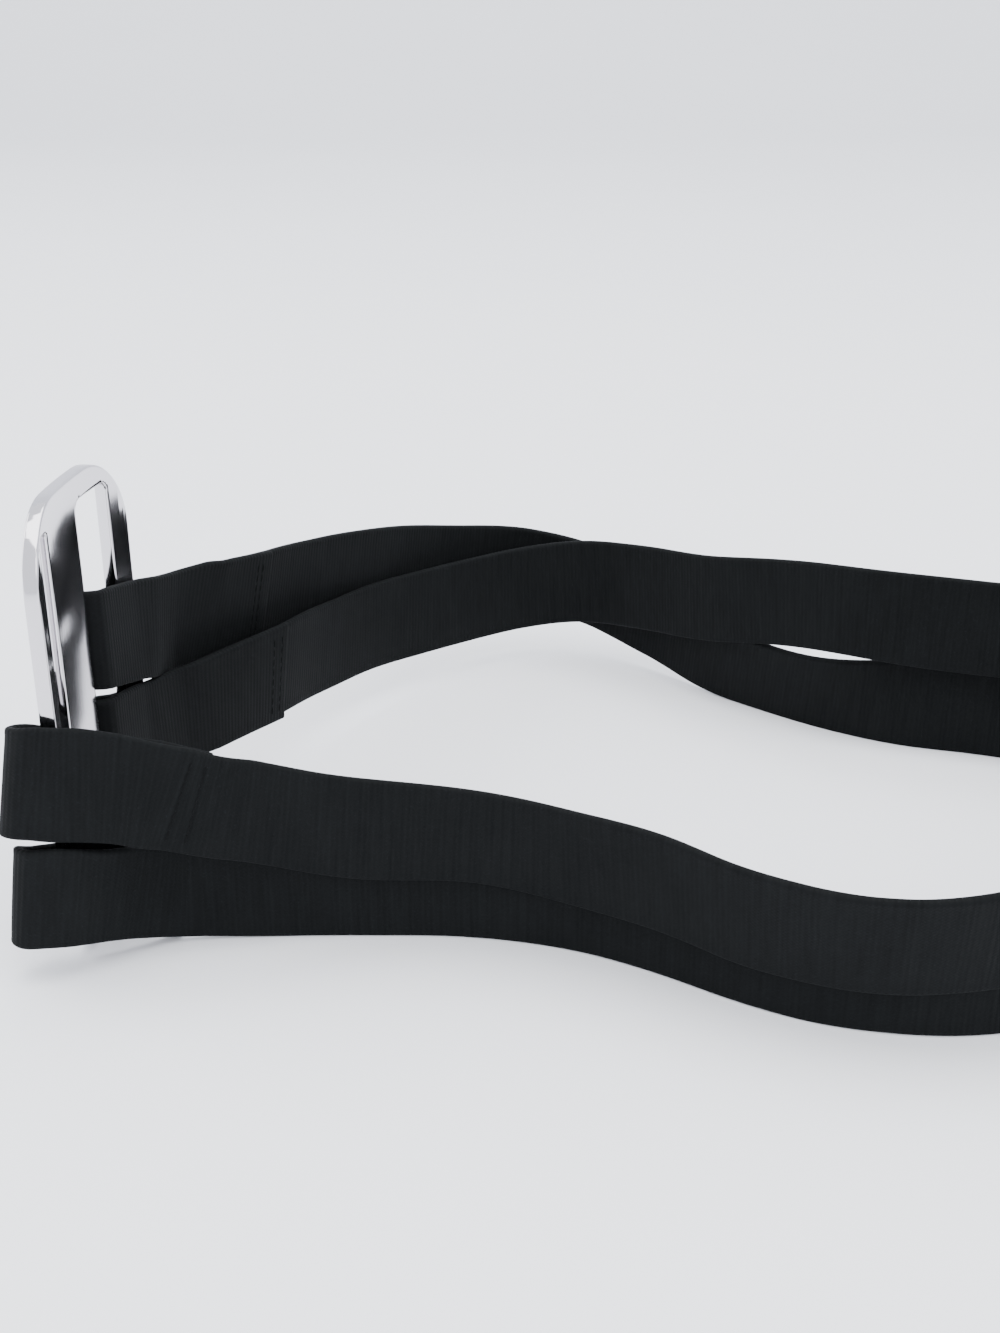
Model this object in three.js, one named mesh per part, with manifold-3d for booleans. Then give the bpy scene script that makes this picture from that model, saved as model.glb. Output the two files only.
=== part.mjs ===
// Canvas belt: two narrow webbing straps closed into a ring by one tall curved buckle plate.
// The ring stands on its edges with the plate upright; millimetres, Z up, table at zero.
import * as THREE from "three";
import { mergeVertices } from "three/addons/utils/BufferGeometryUtils.js";
import Module from "manifold-3d";

const solids = await Module();
solids.setup();

// Driving sizes of the ring and of its webbing.
const LOOP_LENGTH = 290;
const LOOP_DEPTH = 190;
const STRAP_WIDTH = 25;
const STRAP_THICKNESS = 1.8;
const LAYER_GAP = 0.35;

// How far the webbing's section follows the slope of its run: 0 keeps it upright, 1 square to it.
const SECTION_RAKE = 0.5;

// Driving sizes of the plate: height, length along its curve, thickness, curve and turn.
const PLATE_HEIGHT = 98;
const PLATE_LENGTH = 50;
const PLATE_THICKNESS = 3;
const PLATE_BEND = THREE.MathUtils.degToRad(21);
const PLATE_TURN = THREE.MathUtils.degToRad(6.6);
const PLATE_PLACE = { x: -0.4453 * LOOP_LENGTH, y: -0.2516 * LOOP_DEPTH };
const PLATE_CORNER = 0.17 * PLATE_HEIGHT;
const BAND_ABOVE_SLOT = 0.055 * PLATE_HEIGHT;
const SLOT_CORNER = 0.05 * PLATE_LENGTH;
const NEAR_SLOT = { from: 0.1 * PLATE_LENGTH, to: 0.2 * PLATE_LENGTH, corner: 0.03 * PLATE_LENGTH };
const FAR_SLOT = { from: 0.55 * PLATE_LENGTH, to: 0.85 * PLATE_LENGTH, corner: SLOT_CORNER };

// How each strap end passes round its bar and lies back on the inside of the strap.
const NEAR_END = { along: -0.05 * PLATE_LENGTH, off: -2 * PLATE_THICKNESS, spread: 9.3, length: 29 };
const FAR_END = { along: 0.645 * PLATE_LENGTH, off: -4.7, spread: 6.3, length: 64 };
const CLOSED_SPREAD = STRAP_THICKNESS + LAYER_GAP;

// One row is one place on the strap's lower edge: x and y as shares of the loop's length
// and depth, rise as a share of the strap's width, lean in degrees, outward at the top.
const PATH_COLUMNS = ["x", "y", "rise", "lean"];

// The strap that leaves the near bar high, crosses over the other one and ends low.
const UPPER_PATH = [
  [-0.459, -0.394, 1.31, 0],
  [-0.434, -0.381, 1.28, 0],
  [-0.417, -0.37, 1.235, 0],
  [-0.39, -0.355, 1.03, 0],
  [-0.359, -0.342, 0.84, 0],
  [-0.31, -0.326, 0.68, 2],
  [-0.2, -0.317, 0.508, 4],
  [-0.126, -0.337, 0.44, 6],
  [-0.055, -0.385, 0.46, 10],
  [0.01, -0.448, 0.42, 12],
  [0.062, -0.483, 0.42, 14],
  [0.121, -0.5, 0.46, 14],
  [0.186, -0.494, 0.54, 10],
  [0.272, -0.468, 0.78, 6],
  [0.355, -0.424, 1.064, 3],
  [0.431, -0.347, 1.16, 0],
  [0.479, -0.237, 1.2, 0],
  [0.483, -0.111, 1.18, 0],
  [0.431, 0, 1.12, 0],
  [0.355, 0.066, 1.06, 0],
  [0.266, 0.105, 1.024, 0],
  [0.155, 0.166, 1.008, 0],
  [0.097, 0.234, 0.9, 0],
  [0.038, 0.308, 0.732, 0],
  [-0.021, 0.408, 0.58, 0],
  [-0.079, 0.47, 0.48, 0],
  [-0.142, 0.462, 0.42, 0],
  [-0.21, 0.395, 0.42, 0],
  [-0.277, 0.3, 0.48, -2],
  [-0.321, 0.2, 0.552, -4],
  [-0.359, 0.078, 0.668, -6],
  [-0.41, -0.041, 0.69, -3],
];

// The strap that leaves the near bar low, runs on the table and ends high.
const LOWER_PATH = [
  [-0.456, -0.392, 0.29, 0],
  [-0.438, -0.371, 0.24, 0],
  [-0.42, -0.34, 0.12, 0],
  [-0.397, -0.317, 0.03, 0],
  [-0.362, -0.307, 0.008, 0],
  [-0.31, -0.303, 0, 0],
  [-0.2, -0.304, 0, 0],
  [-0.126, -0.323, 0, 0],
  [-0.055, -0.371, 0, 0],
  [0.01, -0.434, 0, 0],
  [0.062, -0.468, 0, 0],
  [0.121, -0.485, 0, 0],
  [0.186, -0.478, 0, 0],
  [0.272, -0.445, 0, 0],
  [0.369, -0.379, 0, 0],
  [0.452, -0.274, 0, 0],
  [0.493, -0.142, 0, 0],
  [0.462, -0.011, 0, 0],
  [0.383, 0.079, 0, 0],
  [0.29, 0.133, 0, 0],
  [0.162, 0.195, 0, 0],
  [0.103, 0.253, 0, 0],
  [0.045, 0.332, 0.02, 0],
  [-0.017, 0.437, 0.18, 0],
  [-0.079, 0.5, 0.38, 0],
  [-0.142, 0.505, 0.54, 0],
  [-0.214, 0.437, 0.74, 0],
  [-0.286, 0.305, 1.06, -3],
  [-0.348, 0.174, 1.27, -6],
  [-0.376, 0.095, 1.39, -9],
  [-0.408, 0.015, 1.53, -10],
  [-0.424, -0.028, 1.665, -8],
];

// Rise of each strap, as a share of its width, where it lies along the plate.
const UPPER_ENDS = { near: 1.34, far: 0.64 };
const LOWER_ENDS = { near: 0.3, far: 1.78 };

function named(row) {
  return Object.fromEntries(PATH_COLUMNS.map((column, i) => [column, row[i]]));
}

// A place on the plate: u along its inner curve from the near end, w inward from that face.
function plateAt(u, w) {
  const radius = PLATE_LENGTH / PLATE_BEND;
  const angle = (u - PLATE_LENGTH / 2) / radius;
  const along = (radius - w) * Math.sin(angle);
  const out = (radius - w) * Math.cos(angle) - radius * Math.cos(PLATE_BEND / 2);
  return {
    x: PLATE_PLACE.x + along * Math.sin(PLATE_TURN) - out * Math.cos(PLATE_TURN),
    y: PLATE_PLACE.y + along * Math.cos(PLATE_TURN) + out * Math.sin(PLATE_TURN),
  };
}

// The strap's main run as close-set places with the direction of travel at each.
function mainRun(path, ends) {
  const rows = path.map(named).map((row) => ({
    x: row.x * LOOP_LENGTH,
    y: row.y * LOOP_DEPTH,
    z: row.rise * STRAP_WIDTH,
    lean: row.lean,
  }));
  const onPlate = (u, w, rise) => ({ ...plateAt(u, w), z: rise * STRAP_WIDTH, lean: 0 });
  rows.unshift(onPlate(NEAR_END.along, NEAR_END.off, ends.near));
  rows.push(onPlate(PLATE_LENGTH, FAR_END.off, ends.far));
  rows.push(onPlate((PLATE_LENGTH + FAR_END.along) / 2, FAR_END.off, ends.far));
  rows.push(onPlate(FAR_END.along, FAR_END.off, ends.far));
  const points = rows.map((row) => new THREE.Vector3(row.x, row.y, row.z));
  const curve = new THREE.CatmullRomCurve3(points, false, "centripetal");
  const steps = 40 * (rows.length - 1);
  const run = [];
  for (let i = 0; i <= steps; i += 1) {
    const t = i / steps;
    const place = curve.getPoint(t);
    const tangent = curve.getTangent(t);
    const row = Math.min(Math.floor(t * (rows.length - 1)), rows.length - 2);
    const share = t * (rows.length - 1) - row;
    run.push({
      x: place.x,
      y: place.y,
      z: Math.max(place.z, 0),
      lean: THREE.MathUtils.lerp(rows[row].lean, rows[row + 1].lean, share),
      travel: tangent,
    });
  }
  return run;
}

// The place that lies a distance to the left of the strap's travel, on the loop's inside.
function inward(place, distance) {
  const level = Math.hypot(place.travel.x, place.travel.y);
  return {
    ...place,
    x: place.x - (place.travel.y / level) * distance,
    y: place.y + (place.travel.x / level) * distance,
  };
}

// The layer that lies back on the inside of the main run, from the bar to the sewn end.
function foldedLayer(run, end, fromStart) {
  const places = fromStart ? run : [...run].reverse();
  const layer = [];
  let travelled = 0;
  places.every((place, i) => {
    if (i > 0) travelled += Math.hypot(place.x - places[i - 1].x, place.y - places[i - 1].y);
    const closing = THREE.MathUtils.smoothstep(travelled, end.held, end.closed);
    const spread = THREE.MathUtils.lerp(end.spread, CLOSED_SPREAD, closing);
    layer.push(inward(place, spread));
    return travelled < end.length;
  });
  return fromStart ? layer.reverse() : layer;
}

// The half turn round a bar, between the main run and the layer that lies back.
function halfTurn(place, spread, atStart) {
  const centre = inward(place, spread / 2);
  const sign = atStart ? -1 : 1;
  const turn = [];
  for (let i = 1; i < 12; i += 1) {
    const angle = (Math.PI * i) / 12;
    const aside = (spread / 2) * Math.cos(angle) * -sign;
    const ahead = (spread / 2) * Math.sin(angle) * sign;
    const bulged = {
      ...centre,
      x: centre.x + place.travel.x * ahead,
      y: centre.y + place.travel.y * ahead,
      z: centre.z + place.travel.z * ahead,
    };
    turn.push(inward(bulged, aside));
  }
  return turn;
}

// Keeps the places where the strap has turned or travelled enough to need a section.
function thinned(path) {
  const kept = [path[0]];
  let travelled = 0;
  let turned = 0;
  for (let i = 1; i < path.length - 1; i += 1) {
    const before = path[i - 1];
    const here = path[i];
    const after = path[i + 1];
    travelled += Math.hypot(here.x - before.x, here.y - before.y);
    const arrive = Math.atan2(here.y - before.y, here.x - before.x);
    const leave = Math.atan2(after.y - here.y, after.x - here.x);
    turned += Math.abs(Math.atan2(Math.sin(leave - arrive), Math.cos(leave - arrive)));
    if (travelled > 6 || turned > 0.14) {
      kept.push(here);
      travelled = 0;
      turned = 0;
    }
  }
  kept.push(path[path.length - 1]);
  return kept;
}

// Sweeps the webbing's flat section along its path and closes both ends.
function bandGeometry(path) {
  const corners = [];
  path.forEach((place, i) => {
    const before = path[Math.max(i - 1, 0)];
    const after = path[Math.min(i + 1, path.length - 1)];
    const ahead = new THREE.Vector3(after.x - before.x, after.y - before.y, 0).normalize();
    const left = new THREE.Vector3(-place.travel.y, place.travel.x, 0).normalize();
    const lean = THREE.MathUtils.degToRad(place.lean);
    const raked = new THREE.Vector3(place.travel.x, place.travel.y, place.travel.z * SECTION_RAKE);
    const across = new THREE.Vector3().crossVectors(raked.normalize(), left);
    const up = across.multiplyScalar(Math.cos(lean)).addScaledVector(left, -Math.sin(lean));
    const right = new THREE.Vector3().crossVectors(ahead, up).normalize();
    const lift = (Math.abs(Math.sin(lean)) * STRAP_THICKNESS) / 2;
    const base = new THREE.Vector3(place.x, place.y, place.z + lift);
    const half = STRAP_THICKNESS / 2;
    corners.push(base.clone().addScaledVector(right, half));
    corners.push(base.clone().addScaledVector(right, half).addScaledVector(up, STRAP_WIDTH));
    corners.push(base.clone().addScaledVector(right, -half).addScaledVector(up, STRAP_WIDTH));
    corners.push(base.clone().addScaledVector(right, -half));
  });
  const index = [];
  for (let i = 0; i < path.length - 1; i += 1) {
    for (let side = 0; side < 4; side += 1) {
      const a = 4 * i + side;
      const b = 4 * i + ((side + 1) % 4);
      index.push(a, a + 4, b, b, a + 4, b + 4);
    }
  }
  const last = 4 * (path.length - 1);
  index.push(0, 1, 2, 0, 2, 3);
  index.push(last, last + 2, last + 1, last, last + 3, last + 2);
  const geometry = new THREE.BufferGeometry().setFromPoints(corners);
  geometry.setIndex(index);
  return geometry;
}

// A whole strap: layer back from the near bar, turn, main run, turn, layer at the far bar.
function strapGeometry(path, ends) {
  const run = mainRun(path, ends);
  const near = { ...NEAR_END, held: 6, closed: 24 };
  const far = { ...FAR_END, held: 19, closed: 34 };
  const start = run[0];
  const finish = run[run.length - 1];
  const full = [
    ...foldedLayer(run, near, true),
    ...halfTurn(start, near.spread, true),
    ...run,
    ...halfTurn(finish, far.spread, false),
    ...foldedLayer(run, far, false),
  ];
  return bandGeometry(thinned(full));
}

function solidOf(geometry) {
  const bare = new THREE.BufferGeometry();
  const source = geometry.index ? geometry.toNonIndexed() : geometry;
  bare.setAttribute("position", source.getAttribute("position"));
  const merged = mergeVertices(bare, 1e-4);
  return new solids.Manifold(
    new solids.Mesh({
      numProp: 3,
      vertProperties: new Float32Array(merged.attributes.position.array),
      triVerts: new Uint32Array(merged.index.array),
    }),
  );
}

function geometryOf(solid) {
  const mesh = solid.getMesh();
  const geometry = new THREE.BufferGeometry();
  geometry.setAttribute("position", new THREE.BufferAttribute(new Float32Array(mesh.vertProperties), 3));
  geometry.setIndex(new THREE.BufferAttribute(new Uint32Array(mesh.triVerts), 1));
  return geometry;
}

// A rectangle with round corners, standing in the plate's own upright plane.
function uprightPrism(left, right, bottom, top, corner, depth) {
  const shape = new THREE.Shape();
  shape.moveTo(left + corner, bottom);
  shape.lineTo(right - corner, bottom);
  shape.absarc(right - corner, bottom + corner, corner, -Math.PI / 2, 0, false);
  shape.lineTo(right, top - corner);
  shape.absarc(right - corner, top - corner, corner, 0, Math.PI / 2, false);
  shape.lineTo(left + corner, top);
  shape.absarc(left + corner, top - corner, corner, Math.PI / 2, Math.PI, false);
  shape.lineTo(left, bottom + corner);
  shape.absarc(left + corner, bottom + corner, corner, Math.PI, 1.5 * Math.PI, false);
  const prism = new THREE.ExtrudeGeometry(shape, { depth, bevelEnabled: false, curveSegments: 10 });
  prism.rotateX(Math.PI / 2);
  prism.translate(0, depth / 2, 0);
  return prism;
}

// The plate: a slab curved in plan, cut to a tall rounded outline with two upright slots.
function plateGeometry() {
  const radius = PLATE_LENGTH / PLATE_BEND;
  const chordDrop = radius * Math.cos(PLATE_BEND / 2);
  const plan = new THREE.Shape();
  const from = Math.PI / 2 + PLATE_BEND / 2;
  const to = Math.PI / 2 - PLATE_BEND / 2;
  plan.absarc(0, 0, radius, from, to, true);
  plan.absarc(0, 0, radius + PLATE_THICKNESS, to, from, false);
  const slab = new THREE.ExtrudeGeometry(plan, {
    depth: PLATE_HEIGHT,
    bevelEnabled: false,
    curveSegments: 30,
  });
  slab.translate(0, -chordDrop, 0);
  const chordAt = (u) => radius * Math.sin((u - PLATE_LENGTH / 2) / radius);
  const half = (radius + PLATE_THICKNESS) * Math.sin(PLATE_BEND / 2);
  const outline = uprightPrism(-half, half, 0, PLATE_HEIGHT, PLATE_CORNER, 40);
  let plate = solidOf(slab).intersect(solidOf(outline));
  for (const slot of [NEAR_SLOT, FAR_SLOT]) {
    const cut = uprightPrism(
      chordAt(slot.from),
      chordAt(slot.to),
      BAND_ABOVE_SLOT,
      PLATE_HEIGHT - BAND_ABOVE_SLOT,
      slot.corner,
      40,
    );
    plate = plate.subtract(solidOf(cut));
  }
  const geometry = geometryOf(plate);
  geometry.rotateZ(Math.PI / 2 - PLATE_TURN);
  geometry.translate(PLATE_PLACE.x, PLATE_PLACE.y, 0);
  return geometry;
}

function part(name, geometry, colour, roughness, metalness) {
  const material = new THREE.MeshStandardMaterial({ color: colour, roughness, metalness });
  material.name = name;
  const mesh = new THREE.Mesh(geometry, material);
  mesh.name = name;
  return mesh;
}

const belt = new THREE.Group();
belt.add(part("buckle", plateGeometry(), 0xc9c8cf, 0.12, 1));
belt.add(part("upper_strap", strapGeometry(UPPER_PATH, UPPER_ENDS), 0x242528, 0.9, 0));
belt.add(part("lower_strap", strapGeometry(LOWER_PATH, LOWER_ENDS), 0x222327, 0.9, 0));

// The middle of the whole belt's footprint is the origin.
const bounds = new THREE.Box3().setFromObject(belt);
const middle = bounds.getCenter(new THREE.Vector3());
belt.position.set(-middle.x, -middle.y, -bounds.min.z);

export default belt;
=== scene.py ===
# Canvas belt: two black webbing straps sewn round one tall polished plate buckle, standing as a loop.
import math

import bmesh
import bpy
from mathutils import Matrix, Vector


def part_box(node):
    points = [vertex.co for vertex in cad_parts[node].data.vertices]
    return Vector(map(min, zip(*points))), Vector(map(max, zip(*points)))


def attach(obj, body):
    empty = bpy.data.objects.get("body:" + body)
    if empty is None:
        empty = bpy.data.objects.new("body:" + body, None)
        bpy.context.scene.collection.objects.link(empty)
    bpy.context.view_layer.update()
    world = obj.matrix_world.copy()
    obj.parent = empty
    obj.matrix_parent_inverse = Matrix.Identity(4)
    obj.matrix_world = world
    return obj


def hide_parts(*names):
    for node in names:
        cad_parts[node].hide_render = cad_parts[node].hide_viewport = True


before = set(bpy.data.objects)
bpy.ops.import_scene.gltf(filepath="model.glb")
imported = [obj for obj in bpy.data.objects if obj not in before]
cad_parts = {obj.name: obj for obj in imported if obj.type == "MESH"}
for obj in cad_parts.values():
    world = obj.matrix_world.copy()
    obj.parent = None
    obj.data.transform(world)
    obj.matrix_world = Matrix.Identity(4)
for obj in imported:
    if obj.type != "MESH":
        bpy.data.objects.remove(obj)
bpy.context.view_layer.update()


# Camera: at the photograph's angle, low in front of the belt and a little right of the buckle.
# It is placed from the plate's lowest front left corner.
camera_from_plate = Vector((0.0883, -0.2743, 0.1917))
camera_pitch = math.radians(24)
camera_lens = 43.2
camera_sensor = 36
camera_nearest = 0.01

camera_data = bpy.data.cameras.new("camera")
camera_data.lens = camera_lens
camera_data.sensor_width = camera_sensor
camera_data.clip_start = camera_nearest
camera = bpy.data.objects.new("camera", camera_data)
camera.location = Vector(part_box("buckle")[0]) + camera_from_plate
camera.rotation_euler = (math.pi / 2 - camera_pitch, 0, 0)
bpy.context.collection.objects.link(camera)
bpy.context.scene.camera = camera


# Tabletop: a plain pale surface with a very faint mottle. It runs back and turns up in one soft
# sweep into a backdrop, so no edge shows behind the belt.
floor_half_width = 8.0
floor_front = -8.0
floor_back = 1.6
sweep_radius = 0.9
sweep_steps = 16
wall_height = 3.0
floor_roughness = 0.6
floor_mottle_scale = 3.0
floor_mottle_detail = 3.0
floor_shade = (0.86, 0.87, 0.9, 1)
floor_light = (0.92, 0.925, 0.95, 1)


def finished_piece(name, shape):
    """The object made from a finished bmesh, at the origin and in the scene."""
    mesh = bpy.data.meshes.new(name)
    shape.to_mesh(mesh)
    shape.free()
    piece = bpy.data.objects.new(name, mesh)
    bpy.context.collection.objects.link(piece)
    return piece


def new_material(name):
    """A node material, its tree and its Principled BSDF."""
    material = bpy.data.materials.new(name)
    material.use_nodes = True
    return material, material.node_tree, material.node_tree.nodes["Principled BSDF"]


def noise(tree, places, scale, detail):
    """A noise value that changes over the given places."""
    texture = tree.nodes.new("ShaderNodeTexNoise")
    texture.inputs["Scale"].default_value = scale
    texture.inputs["Detail"].default_value = detail
    tree.links.new(places, texture.inputs["Vector"])
    return texture.outputs["Fac"]


def tone_between(tree, value, low, high, low_at=0.0, high_at=1.0):
    """The colour that a value picks between a low and a high one."""
    ramp = tree.nodes.new("ShaderNodeValToRGB")
    for element, colour, position in zip(ramp.color_ramp.elements, (low, high), (low_at, high_at)):
        element.color = colour
        element.position = position
    tree.links.new(value, ramp.inputs["Fac"])
    return ramp.outputs["Color"]


floor_profile = [(floor_front, 0.0), (floor_back, 0.0)]
for step in range(1, sweep_steps + 1):
    turn = math.pi / 2 * step / sweep_steps
    floor_profile.append(
        (floor_back + sweep_radius * math.sin(turn), sweep_radius * (1 - math.cos(turn)))
    )
floor_profile.append((floor_back + sweep_radius, wall_height))
floor_shape = bmesh.new()
left_side = [floor_shape.verts.new((-floor_half_width, *place)) for place in floor_profile]
left_edges = [floor_shape.edges.new(pair) for pair in zip(left_side, left_side[1:])]
pulled = bmesh.ops.extrude_edge_only(floor_shape, edges=left_edges)["geom"]
bmesh.ops.translate(
    floor_shape,
    verts=[part for part in pulled if isinstance(part, bmesh.types.BMVert)],
    vec=(2 * floor_half_width, 0, 0),
)
floor = finished_piece("floor", floor_shape)
floor.data.shade_smooth()

floor_material, floor_tree, floor_skin = new_material("pale_table")
floor_skin.inputs["Roughness"].default_value = floor_roughness
floor_place = floor_tree.nodes.new("ShaderNodeTexCoord").outputs["Object"]
floor_mottle = noise(floor_tree, floor_place, floor_mottle_scale, floor_mottle_detail)
floor_colour = tone_between(floor_tree, floor_mottle, floor_shade, floor_light)
floor_tree.links.new(floor_colour, floor_skin.inputs["Base Color"])
floor.data.materials.append(floor_material)


# Light: a pale room, one broad soft panel overhead, and two smaller panels to the left and in
# front, which the plate mirrors. The table gives place, target, width, height and power.
room_colour = (0.86, 0.89, 0.95, 1)
room_strength = 2.0
panel_table = [
    ("overhead", (0.1, -0.1, 1.5), (0.0, 0.0, 0.0), 1.6, 1.6, 34.0),
    ("left_panel", (-1.3, 0.3, 0.7), (-0.1, 0.0, 0.05), 0.9, 1.2, 12.0),
    ("front_panel", (0.9, -1.3, 1.0), (0.0, 0.0, 0.05), 1.0, 0.8, 9.0),
]

world = bpy.data.worlds.new("studio")
world.use_nodes = True
world_shade = world.node_tree.nodes["Background"]
world_shade.inputs["Color"].default_value = room_colour
world_shade.inputs["Strength"].default_value = room_strength
bpy.context.scene.world = world
for name, place, target, width, height, power in panel_table:
    panel = bpy.data.lights.new(name, "AREA")
    panel.shape = "RECTANGLE"
    panel.size = width
    panel.size_y = height
    panel.energy = power
    lamp = bpy.data.objects.new(name, panel)
    lamp.location = place
    lamp.rotation_euler = (Vector(target) - Vector(place)).to_track_quat("-Z", "Y").to_euler()
    bpy.context.collection.objects.link(lamp)


# Buckle: a cast and polished plate, a tall rounded rectangle bent to the waist, with a narrow slot
# near its front edge and a wide slot near its back edge. Its rims are softly rounded by polishing,
# and its nickel finish has fine scratches along its height and faint smears.
plate_height = 0.098
plate_length = 0.050
plate_thickness = 0.003
plate_bend = math.radians(21)
plate_turn = math.radians(6.6)
plate_corner = 0.17 * plate_height
plate_band = 0.055 * plate_height
plate_rim = 0.0005
rim_rounds = 3
corner_steps = 14
plate_cuts = 60
crease_angle = math.radians(35)
merge_distance = 1e-6
# Start, finish and corner radius of the narrow slot and of the wide one, along the plate.
slot_table = [
    (0.1 * plate_length, 0.2 * plate_length, 0.03 * plate_length),
    (0.55 * plate_length, 0.85 * plate_length, 0.05 * plate_length),
]
nickel_colour = (0.64, 0.62, 0.645, 1)
scratches_per_metre = (900, 900, 40)
scratch_detail = 4.0
scratch_strength = 0.06
scratch_depth = 0.00005
smears_per_metre = 60.0
smear_detail = 2.0
smear_roughness = (0.04, 0.16)


def rounded_outline(left, right, bottom, top, corner):
    """A closed ring of points round a rectangle with round corners."""
    points = []
    corners = [
        (right - corner, bottom + corner, -90),
        (right - corner, top - corner, 0),
        (left + corner, top - corner, 90),
        (left + corner, bottom + corner, 180),
    ]
    for across, up, start in corners:
        for step in range(corner_steps + 1):
            angle = math.radians(start + 90 * step / corner_steps)
            points.append((across + corner * math.cos(angle), up + corner * math.sin(angle)))
    return points


def flat_plate_mesh():
    """The plate before it is bent, filled between its outline and its slots, with rounded rims."""
    outline = bpy.data.curves.new("plate_outline", "CURVE")
    outline.dimensions = "2D"
    outline.fill_mode = "BOTH"
    outline.extrude = plate_thickness / 2 - plate_rim
    outline.bevel_depth = plate_rim
    outline.bevel_resolution = rim_rounds
    outline.offset = -plate_rim
    slot_top = plate_height - plate_band
    rings = [rounded_outline(0, plate_length, 0, plate_height, plate_corner)]
    for start, finish, corner in slot_table:
        rings.append(rounded_outline(start, finish, plate_band, slot_top, corner))
    for ring in rings:
        spline = outline.splines.new("POLY")
        spline.points.add(len(ring) - 1)
        spline.use_cyclic_u = True
        for point, (across, up) in zip(spline.points, ring):
            point.co = (across, up, 0, 1)
    holder = bpy.data.objects.new("plate_outline", outline)
    mesh = bpy.data.meshes.new_from_object(holder)
    bpy.data.objects.remove(holder)
    bpy.data.curves.remove(outline)
    return mesh


def bent_plate_place(along, inward):
    """Where a place of the flat plate lies once it is bent, in plan from the chord's middle."""
    radius = plate_length / plate_bend
    angle = (along - plate_length / 2) / radius
    chord = (radius - inward) * math.sin(angle)
    out = (radius - inward) * math.cos(angle) - radius * math.cos(plate_bend / 2)
    across = chord * math.sin(plate_turn) - out * math.cos(plate_turn)
    back = chord * math.cos(plate_turn) + out * math.sin(plate_turn)
    return across, back


plate_shape = bmesh.new()
plate_shape.from_mesh(flat_plate_mesh())
bmesh.ops.remove_doubles(plate_shape, verts=plate_shape.verts, dist=merge_distance)
for cut in range(1, plate_cuts):
    bmesh.ops.bisect_plane(
        plate_shape,
        geom=plate_shape.verts[:] + plate_shape.edges[:] + plate_shape.faces[:],
        plane_co=(plate_length * cut / plate_cuts, 0, 0),
        plane_no=(1, 0, 0),
    )
for vert in plate_shape.verts:
    across, back = bent_plate_place(vert.co.x, vert.co.z - plate_thickness / 2)
    vert.co = (across, back, vert.co.y)
bmesh.ops.recalc_face_normals(plate_shape, faces=plate_shape.faces)
plate_low = Vector([min(vert.co[axis] for vert in plate_shape.verts) for axis in range(3)])
plate_high = Vector([max(vert.co[axis] for vert in plate_shape.verts) for axis in range(3)])
node_low, node_high = (Vector(corner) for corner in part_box("buckle"))
plate_seat = (node_low + node_high - plate_low - plate_high) / 2
bmesh.ops.translate(plate_shape, verts=plate_shape.verts, vec=plate_seat)
for face in plate_shape.faces:
    face.smooth = True
for edge in plate_shape.edges:
    if edge.is_manifold and edge.calc_face_angle() > crease_angle:
        edge.smooth = False
plate = finished_piece("buckle_plate", plate_shape)

nickel, nickel_tree, nickel_skin = new_material("polished_nickel")
nickel_skin.inputs["Base Color"].default_value = nickel_colour
nickel_skin.inputs["Metallic"].default_value = 1.0
nickel_place = nickel_tree.nodes.new("ShaderNodeTexCoord").outputs["Object"]
scratch_stretch = nickel_tree.nodes.new("ShaderNodeMapping")
scratch_stretch.inputs["Scale"].default_value = scratches_per_metre
nickel_tree.links.new(nickel_place, scratch_stretch.inputs["Vector"])
scratches = noise(nickel_tree, scratch_stretch.outputs["Vector"], 1.0, scratch_detail)
smears = noise(nickel_tree, nickel_place, smears_per_metre, smear_detail)
smear_range = nickel_tree.nodes.new("ShaderNodeMapRange")
smear_range.inputs["To Min"].default_value = smear_roughness[0]
smear_range.inputs["To Max"].default_value = smear_roughness[1]
nickel_tree.links.new(smears, smear_range.inputs["Value"])
nickel_tree.links.new(smear_range.outputs["Result"], nickel_skin.inputs["Roughness"])
scratch_bump = nickel_tree.nodes.new("ShaderNodeBump")
scratch_bump.inputs["Strength"].default_value = scratch_strength
scratch_bump.inputs["Distance"].default_value = scratch_depth
nickel_tree.links.new(scratches, scratch_bump.inputs["Height"])
nickel_tree.links.new(scratch_bump.outputs["Normal"], nickel_skin.inputs["Normal"])
plate.data.materials.append(nickel)
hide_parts("buckle")
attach(plate, "root")


# Straps: flat woven webbing 25 mm wide and 1.8 mm thick, with fine ribs across it and firm rolled
# selvedges. Each passes round both bars of the plate, and its ends lie back along its inner side.
webbing_width = 0.025
webbing_thickness = 0.0018
station_step = 0.0014
ripple_height = 0.00012
ripple_length = 0.031
ripple_at_edges = 6
millimetre = 0.001
node_merge_distance = 2e-6
# Across the webbing: place as a share of the width, half depth as a share of half the thickness.
section_table = [
    (0.0, 0.35),
    (0.008, 0.75),
    (0.022, 1.0),
    (0.045, 1.04),
    (0.075, 0.97),
    (0.16, 0.98),
    (0.3, 1.0),
    (0.5, 1.0),
    (0.7, 1.0),
    (0.84, 0.98),
    (0.925, 0.97),
    (0.955, 1.04),
    (0.978, 1.0),
    (0.992, 0.75),
    (1.0, 0.35),
]

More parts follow.
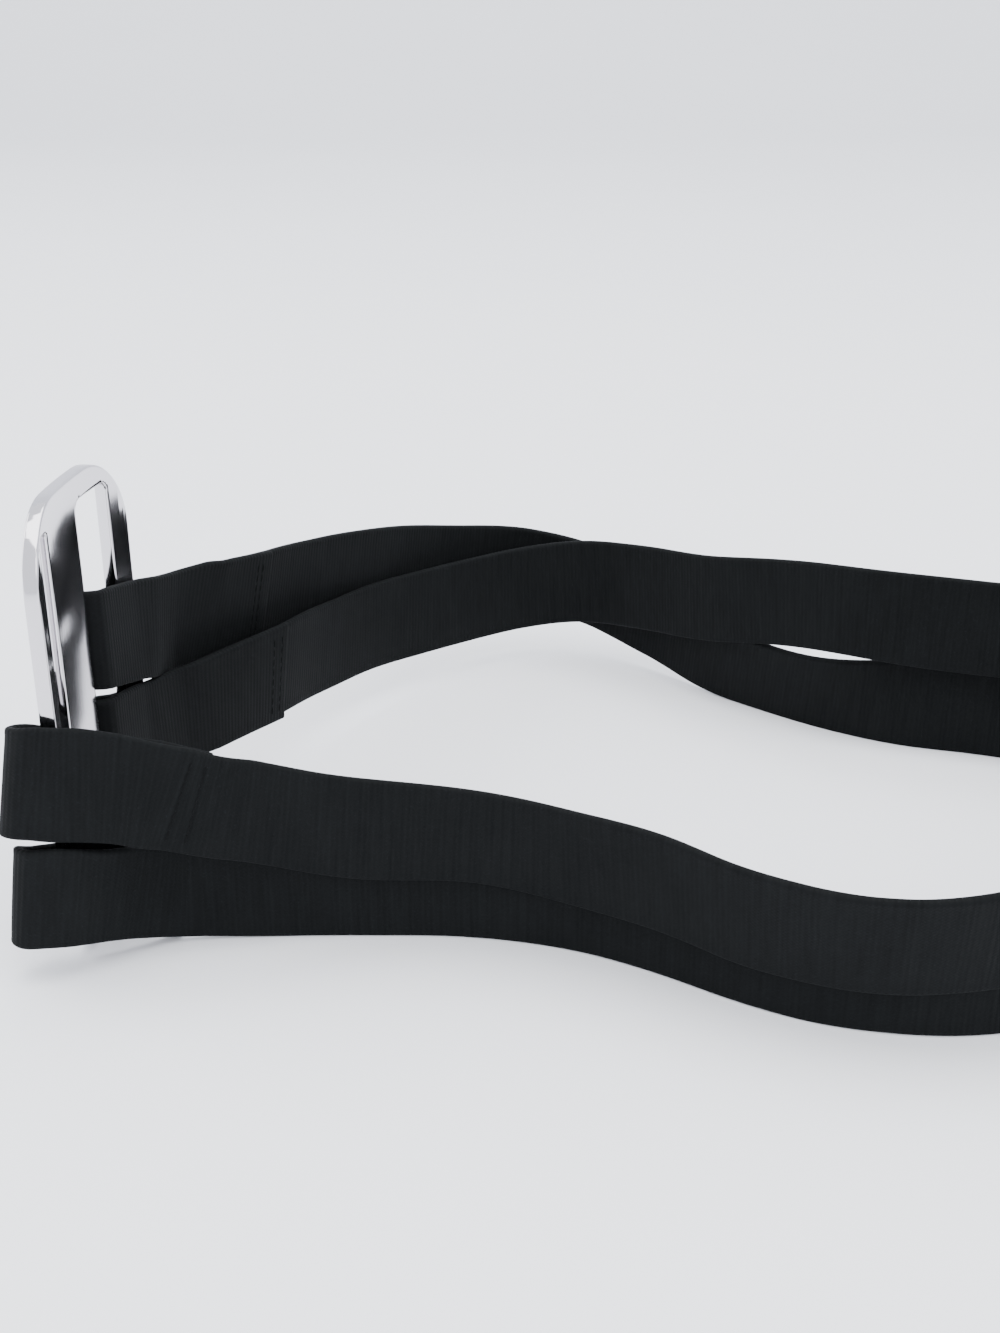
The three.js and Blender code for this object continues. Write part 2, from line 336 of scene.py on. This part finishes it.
# How the webbing settles where it turns round the near bar, in millimetres: distance from the
# strap's near end, rise of its lower edge, rise of its upper edge, lower edge out to the left.
near_settle = {
    "upper_strap": [
        (0, 0, -2, 0),
        (12, -1.5, -4.5, 0),
        (30, -3, -4.8, 0),
        (38, -1.8, -3.6, 2),
        (47, 0.3, -0.6, 2),
        (56, -0.2, -0.6, 1.6),
        (68, -1.3, -3.2, 0.6),
        (80, 1, -1.6, 0),
        (92, 2.6, 0.6, 0),
        (115, 1, 0, 0),
        (140, 3, 0.5, 0),
        (180, 0, 0, 0),
    ],
    "lower_strap": [
        (0, -0.3, -1, 0),
        (14, -0.8, -1.8, 0),
        (23, -1.5, -4.5, 0),
        (30, -1.2, -5.2, 0),
        (36, 0.5, -2.2, 2.6),
        (46, 1.2, -1.2, 2.6),
        (56, 1, -3.4, 1.5),
        (68, 0.8, -3.4, 0.5),
        (90, 0, -1, 0),
        (120, 0, 0, 0),
    ],
}
# The same at the far bar: distance from the strap's far end, rise of its lower and upper edges.
far_settle = {
    "upper_strap": [
        (0, 0, 1.2),
        (24, 1, 1),
        (33, 2.2, 1.2),
        (41, 4, 2.4),
        (49, 5, 4.3),
        (56, 6.5, 6.1),
        (65, 7.4, 7.6),
        (72, 6.8, 6.6),
        (79, 4.4, 4.2),
        (86, 2, 1.4),
        (94, 0.5, 0),
        (120, 0, 0),
    ],
    "lower_strap": [
        (0, 0, 0.6),
        (16, 0.6, 0.6),
        (33, -2, -2.4),
        (46, 0.2, -1.3),
        (54, 2.4, 0.5),
        (62, 5, 2.5),
        (70, 6.8, 3.6),
        (77, 5.2, 1.4),
        (85, 2.2, -1.6),
        (93, -1, -3.6),
        (107, -3.4, -4),
        (116, -2.4, -2.8),
        (125, -0.4, -0.8),
        (136, 0, 0),
    ],
}
# Where the straps part a little in the run behind: the middle and half length of the parting along
# X, and the shift of each strap's lower and upper edge in millimetres, back and up.
parting_middle = 0.029
parting_half = 0.036
parting_shift = {
    "upper_strap": ((0, 1.2), (0, 0)),
    "lower_strap": ((3, 0), (-4, -3)),
}


def smooth_between(before, start, finish, after, share):
    """A point on the smooth curve through four places, between the middle two."""
    return 0.5 * (
        2 * start
        + (finish - before) * share
        + (2 * before - 5 * start + 4 * finish - after) * share**2
        + (3 * start - before - 3 * finish + after) * share**3
    )


def sections_of(node):
    """The CAD strap read as a row of sections: lower edge, upper edge and facing of each."""
    edges_of_an_inner_corner = 6
    reach_of_one_section = 1.5 * webbing_width
    solid = bmesh.new()
    solid.from_mesh(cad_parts[node].data)
    bmesh.ops.remove_doubles(solid, verts=solid.verts, dist=node_merge_distance)
    ends = [vert for vert in solid.verts if len(vert.link_edges) < edges_of_an_inner_corner]
    front = min(ends, key=lambda vert: vert.co.y)
    ring = [vert for vert in ends if (vert.co - front.co).length < reach_of_one_section]
    seen = set(ring)
    rings = []
    while ring:
        rings.append([vert.co.copy() for vert in ring])
        ahead = []
        for vert in ring:
            for edge in vert.link_edges:
                other = edge.other_vert(vert)
                if other not in seen:
                    seen.add(other)
                    ahead.append(other)
        ring = ahead
    solid.free()
    sections = []
    facing = None
    for corners in rings:
        corners.sort(key=lambda place: place.z)
        lower = (corners[0] + corners[1]) / 2
        upper = (corners[2] + corners[3]) / 2
        turned = (corners[1] - corners[0]).normalized()
        if facing is not None and turned.dot(facing) < 0:
            turned.negate()
        facing = turned
        sections.append((lower, upper, facing))
    return sections


def fine_stations(sections):
    """Close-set stations along the strap, each with its distance from the near end."""
    stations = []
    travelled = 0.0
    last = len(sections) - 1
    for i in range(last):
        around = [sections[max(i - 1, 0)], sections[i], sections[i + 1], sections[min(i + 2, last)]]
        middles = [(lower + upper) / 2 for lower, upper, _ in around]
        length = (middles[2] - middles[1]).length
        steps = max(1, round(length / station_step))
        for step in range(steps):
            share = step / steps
            lower = smooth_between(*(section[0] for section in around), share)
            upper = smooth_between(*(section[1] for section in around), share)
            facing = smooth_between(*(section[2] for section in around), share).normalized()
            stations.append((travelled + length * share, lower, upper, facing))
        travelled += length
    stations.append((travelled, *sections[last]))
    return stations


def eased(table, distance):
    """The columns of a settle table at a distance, on a smooth curve from row to row."""
    for i in range(len(table) - 1):
        start, finish = table[i], table[i + 1]
        if distance <= finish[0]:
            before, after = table[max(i - 1, 0)], table[min(i + 2, len(table) - 1)]
            share = (distance - start[0]) / (finish[0] - start[0])
            columns = zip(before[1:], start[1:], finish[1:], after[1:])
            return [smooth_between(*values, share) for values in columns]
    return table[-1][1:]


def settled(node, stations):
    """The stations with the webbing bunched and leaning at the bars and parted behind."""
    length = stations[-1][0]
    moved = []
    for travelled, lower, upper, facing in stations:
        near = eased(near_settle[node], travelled / millimetre)
        far = eased(far_settle[node], (length - travelled) / millimetre)
        lower = lower + Vector((-near[2], 0, near[0] + far[0])) * millimetre
        upper = upper + Vector((0, 0, near[1] + far[1])) * millimetre
        offset = abs((lower.x + upper.x) / 2 - parting_middle) / parting_half
        if offset < 1 and lower.y > 0:
            share = (1 - offset * offset) ** 2 * millimetre
            lower = lower + Vector((0, *parting_shift[node][0])) * share
            upper = upper + Vector((0, *parting_shift[node][1])) * share
        facing = (facing - facing.project(upper - lower)).normalized()
        moved.append((travelled, lower, upper, facing))
    return moved


def webbing_skin_of(stations):
    """The strap's skin: a grid laid round the section and along the stations, closed at the ends."""
    shape = bmesh.new()
    chart = shape.loops.layers.uv.new("UVMap")
    section = section_table + [(place, -depth) for place, depth in reversed(section_table)]
    around = len(section)
    along = len(stations) - 1
    bmesh.ops.create_grid(shape, x_segments=around, y_segments=along, size=1)
    charted = {}
    for vert in shape.verts:
        place, depth = section[round((vert.co.x + 1) / 2 * around) % around]
        travelled, lower, upper, facing = stations[round((vert.co.y + 1) / 2 * along)]
        ripple = ripple_height * math.sin(2 * math.pi * travelled / ripple_length)
        ripple *= abs(2 * place - 1) ** ripple_at_edges
        vert.co = lower.lerp(upper, place) + facing * (depth * webbing_thickness / 2 + ripple)
        charted[vert] = (place * (upper - lower).length, travelled)
    bmesh.ops.remove_doubles(shape, verts=shape.verts, dist=merge_distance)
    for face in shape.faces:
        face.smooth = True
    open_edges = [edge for edge in shape.edges if edge.is_boundary]
    bmesh.ops.holes_fill(shape, edges=open_edges, sides=0)
    for face in shape.faces:
        for loop in face.loops:
            loop[chart].uv = charted[loop.vert]
    bmesh.ops.recalc_face_normals(shape, faces=shape.faces)
    return shape


# The weave: ribs across the webbing, a fine warp along it, and uneven yarn, with painted shade that
# darkens its grooves and lightens its ribs. It reads the strap's UV map, which is in metres across
# and along the webbing.
rib_pitch = 0.0011
warp_pitch = 0.0008
rib_relief = 0.5
basket_relief = 0.3
streak_relief = 0.7
streak_tone = 0.6
cloud_tone = 0.4
# Painted shade: how strongly the weave's relief darkens the grooves and lightens the rib crests in
# the colour.
weave_groove_shade = 0.12
streaks_per_metre = (60, 900, 1)
streak_detail = 3.0
clouds_per_metre = 55.0
cloud_detail = 2.0
yarn_dark = (0.0022, 0.0027, 0.0030, 1)
yarn_light = (0.0056, 0.0064, 0.0068, 1)
yarn_dark_at = 0.3
yarn_light_at = 0.85
webbing_roughness = 0.82
webbing_gloss = 0.1
weave_strength = 0.38
weave_depth = 0.00015

weave = bpy.data.node_groups.new("webbing_weave", "ShaderNodeTree")
weave.interface.new_socket("Chart", in_out="INPUT", socket_type="NodeSocketVector")
weave.interface.new_socket("Tone", in_out="OUTPUT", socket_type="NodeSocketFloat")
weave.interface.new_socket("Height", in_out="OUTPUT", socket_type="NodeSocketFloat")
weave_chart = weave.nodes.new("NodeGroupInput").outputs["Chart"]
weave_out = weave.nodes.new("NodeGroupOutput")


def weave_math(operation, *values):
    """One arithmetic node of the weave; numbers are typed in and sockets are linked."""
    node = weave.nodes.new("ShaderNodeMath")
    node.operation = operation
    for socket, value in zip(node.inputs, values):
        if isinstance(value, (int, float)):
            socket.default_value = value
        else:
            weave.links.new(value, socket)
    return node.outputs["Value"]


weave_split = weave.nodes.new("ShaderNodeSeparateXYZ")
weave.links.new(weave_chart, weave_split.inputs["Vector"])
streak_scale = weave.nodes.new("ShaderNodeMapping")
streak_scale.inputs["Scale"].default_value = streaks_per_metre
weave.links.new(weave_chart, streak_scale.inputs["Vector"])
streak = noise(weave, streak_scale.outputs["Vector"], 1.0, streak_detail)
cloud = noise(weave, weave_chart, clouds_per_metre, cloud_detail)
rib = weave_math("SINE", weave_math("MULTIPLY", weave_split.outputs["Y"], 2 * math.pi / rib_pitch))
warp = weave_math("SINE", weave_math("MULTIPLY", weave_split.outputs["X"], 2 * math.pi / warp_pitch))
basket = weave_math("MULTIPLY", rib, warp)
ribs_and_basket = weave_math(
    "ADD",
    weave_math("MULTIPLY", rib, rib_relief),
    weave_math("MULTIPLY", basket, basket_relief),
)
relief = weave_math("ADD", ribs_and_basket, weave_math("MULTIPLY", streak, streak_relief))
yarn_tone = weave_math(
    "ADD",
    weave_math("MULTIPLY", streak, streak_tone),
    weave_math("MULTIPLY", cloud, cloud_tone),
)
# Painted shade: the colour also follows the weave's relief, darker in the grooves between ribs and
# lighter on their crests; the streak part of the relief adds random yarn tone.
tone = weave_math("ADD", yarn_tone, weave_math("MULTIPLY", relief, weave_groove_shade))
weave.links.new(tone, weave_out.inputs["Tone"])
weave.links.new(relief, weave_out.inputs["Height"])

webbing, webbing_tree, webbing_skin = new_material("black_webbing")
webbing_skin.inputs["Roughness"].default_value = webbing_roughness
webbing_skin.inputs["Specular IOR Level"].default_value = webbing_gloss
webbing_chart = webbing_tree.nodes.new("ShaderNodeUVMap")
webbing_chart.uv_map = "UVMap"
webbing_weave = webbing_tree.nodes.new("ShaderNodeGroup")
webbing_weave.node_tree = weave
webbing_tree.links.new(webbing_chart.outputs["UV"], webbing_weave.inputs["Chart"])
webbing_colour = tone_between(
    webbing_tree,
    webbing_weave.outputs["Tone"],
    yarn_dark,
    yarn_light,
    yarn_dark_at,
    yarn_light_at,
)
webbing_tree.links.new(webbing_colour, webbing_skin.inputs["Base Color"])
webbing_bump = webbing_tree.nodes.new("ShaderNodeBump")
webbing_bump.inputs["Strength"].default_value = weave_strength
webbing_bump.inputs["Distance"].default_value = weave_depth
webbing_tree.links.new(webbing_weave.outputs["Height"], webbing_bump.inputs["Height"])
webbing_tree.links.new(webbing_bump.outputs["Normal"], webbing_skin.inputs["Normal"])

strap_stations = {}
straps = {}
for node in ("upper_strap", "lower_strap"):
    stations = settled(node, fine_stations(sections_of(node)))
    strap = finished_piece(node + "_webbing", webbing_skin_of(stations))
    strap.data.materials.append(webbing)
    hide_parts(node)
    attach(strap, "root")
    strap_stations[node] = stations
    straps[node] = strap


# Stitching: two rows of black thread across each strap end, through the end and the strap under it.
# Each row shows as short stitches on the outer face of both layers.
stitch_rows = (0.003, 0.0055)
stitches_across = 8
stitch_length = 0.0022
stitch_width = 0.0006
stitch_height = 0.00036
stitch_margin = 0.0025
stitch_sides = 10
stitch_rings = 6
# How far from a strap's near and far end the layer under its folded end may lie.
reach_of_under_layer = {"near": (0.04, 0.128), "far": (0.075, 0.24)}
thread_dark = (0.0016, 0.0019, 0.0021, 1)
thread_light = (0.0036, 0.004, 0.0043, 1)
thread_roughness = 0.8
thread_gloss = 0.1
twists_per_metre = 4000.0
twist_detail = 2.0

thread, thread_tree, thread_skin = new_material("black_thread")
thread_skin.inputs["Roughness"].default_value = thread_roughness
thread_skin.inputs["Specular IOR Level"].default_value = thread_gloss
thread_place = thread_tree.nodes.new("ShaderNodeTexCoord").outputs["Object"]
thread_twist = noise(thread_tree, thread_place, twists_per_metre, twist_detail)
thread_colour = tone_between(thread_tree, thread_twist, thread_dark, thread_light)
thread_tree.links.new(thread_colour, thread_skin.inputs["Base Color"])


def middle_of(station):
    """The middle of the webbing's width at a station."""
    return (station[1] + station[2]) / 2


def distance_from(stations, station, end):
    """How far a station lies from the strap's near or far end."""
    return station[0] if end == "near" else stations[-1][0] - station[0]


def station_under(stations, place, end):
    """The station of the strap's main run that lies nearest to a place of its folded end."""
    nearest, farthest = reach_of_under_layer[end]
    run = [
        station
        for station in stations
        if nearest < distance_from(stations, station, end) < farthest
    ]
    return min(run, key=lambda station: (middle_of(station) - place).length)


def stitched_row(shape, station, side):
    """One row of short stitches across the strap on one of its faces."""
    _, lower, upper, facing = station
    up = (upper - lower).normalized()
    room = (upper - lower).length - 2 * stitch_margin
    turn = Matrix((up.cross(facing), up, facing)).transposed().to_4x4()
    size = Matrix.Diagonal((stitch_width / 2, stitch_length / 2, stitch_height / 2, 1))
    for count in range(stitches_across):
        height = stitch_margin + room * (count + 0.5) / stitches_across
        centre = lower + up * height + facing * (side * webbing_thickness / 2)
        bmesh.ops.create_uvsphere(
            shape,
            u_segments=stitch_sides,
            v_segments=stitch_rings,
            radius=1.0,
            matrix=Matrix.Translation(centre) @ turn @ size,
        )


for node, strap in straps.items():
    stations = strap_stations[node]
    seam_shape = bmesh.new()
    for end in ("near", "far"):
        for row in stitch_rows:
            folded = min(stations, key=lambda one: abs(distance_from(stations, one, end) - row))
            under = station_under(stations, middle_of(folded), end)
            away = middle_of(folded) - middle_of(under)
            side = 1 if away.dot(folded[3]) > 0 else -1
            stitched_row(seam_shape, folded, side)
            stitched_row(seam_shape, under, side)
    for face in seam_shape.faces:
        face.smooth = True
    seam = finished_piece(node + "_stitching", seam_shape)
    seam.data.materials.append(thread)
    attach(seam, "root")
